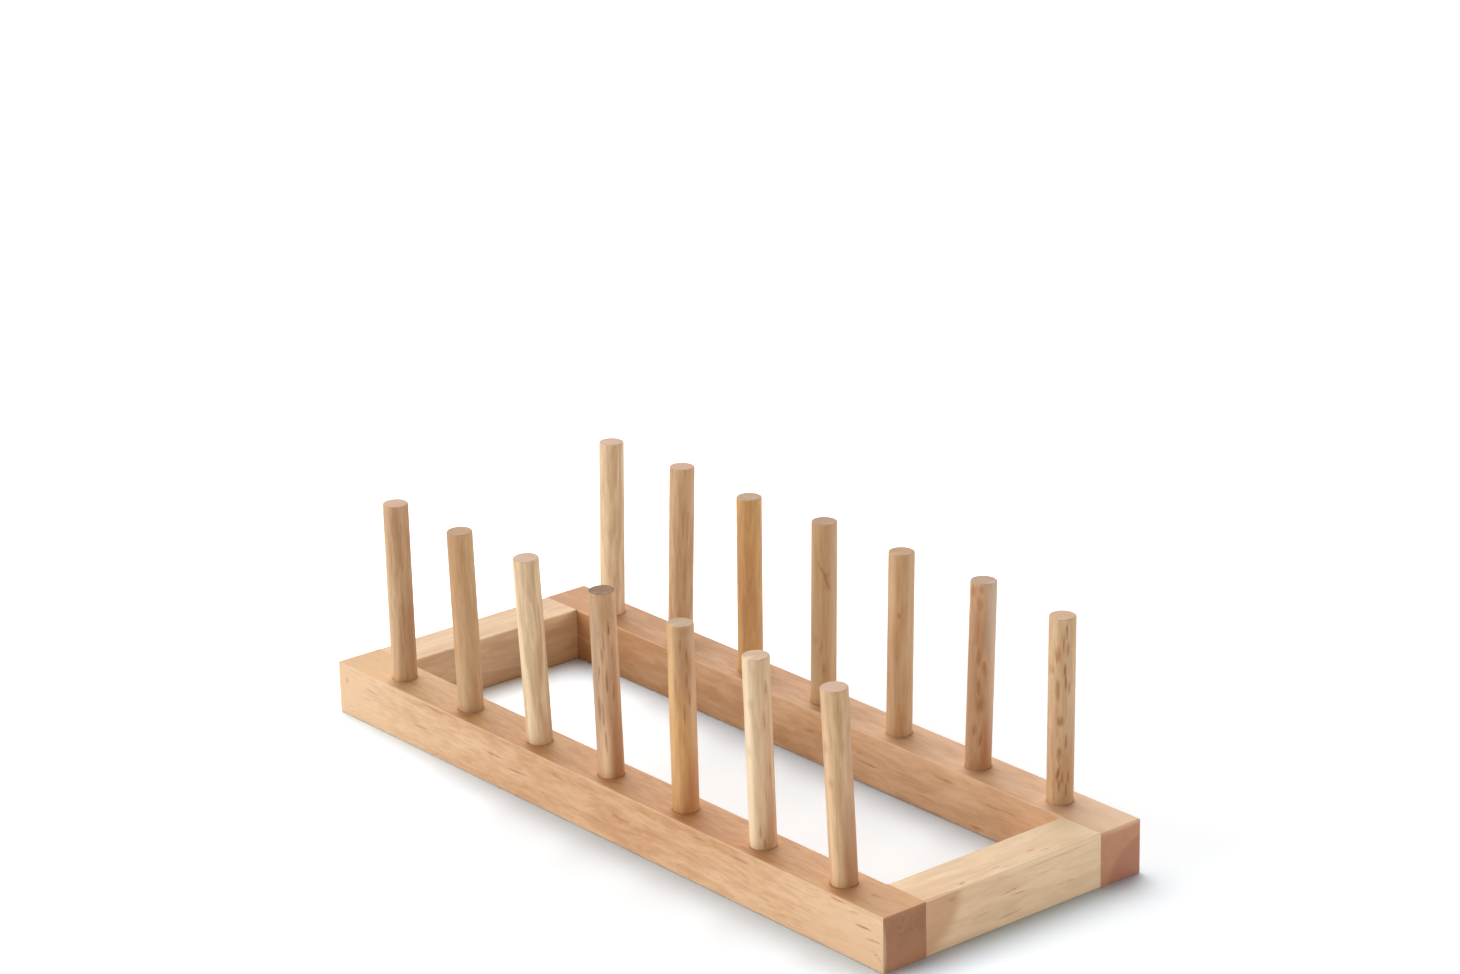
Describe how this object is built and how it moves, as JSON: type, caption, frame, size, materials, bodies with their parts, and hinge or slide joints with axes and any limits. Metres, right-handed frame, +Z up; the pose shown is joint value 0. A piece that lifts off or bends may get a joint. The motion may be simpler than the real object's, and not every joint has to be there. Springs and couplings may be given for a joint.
{
  "type": "plate rack",
  "caption": "Low free-standing wooden rack: a flat frame of two long rails and two cross rails, with a row of round pegs on each long rail, holds plates on edge.",
  "frame": {"origin": "under the middle of the rack, on the surface that it stands on", "axes": "+X along the long rails to the right end, +Y from the front rail to the rear rail, +Z up"},
  "size_m": [0.325, 0.125, 0.0966],
  "materials": {
    "peach_wood": "satin rubberwood, light peach tone",
    "orange_wood": "satin rubberwood, orange-brown tone",
    "pale_wood": "satin rubberwood, pale straw tone",
    "amber_wood": "satin rubberwood, amber tone",
    "brown_wood": "satin rubberwood, brown tone",
    "dowel_wood": "plain grooved joint dowel, unfinished"
  },
  "bodies": {
    "root": {"front_rail": "peach_wood", "rear_rail": "orange_wood", "right_cross_rail": "pale_wood", "left_cross_rail": "pale_wood", "front_peg_1": "pale_wood", "front_peg_2": "pale_wood", "front_peg_3": "amber_wood", "front_peg_4": "brown_wood", "front_peg_5": "pale_wood", "front_peg_6": "pale_wood", "front_peg_7": "amber_wood", "rear_peg_1": "orange_wood", "rear_peg_2": "brown_wood", "rear_peg_3": "pale_wood", "rear_peg_4": "amber_wood", "rear_peg_5": "orange_wood", "rear_peg_6": "brown_wood", "rear_peg_7": "pale_wood", "front_right_dowel_1": "dowel_wood", "front_right_dowel_2": "dowel_wood", "front_left_dowel_1": "dowel_wood", "front_left_dowel_2": "dowel_wood", "rear_right_dowel_1": "dowel_wood", "rear_right_dowel_2": "dowel_wood", "rear_left_dowel_1": "dowel_wood", "rear_left_dowel_2": "dowel_wood"}
  },
  "joints": []
}
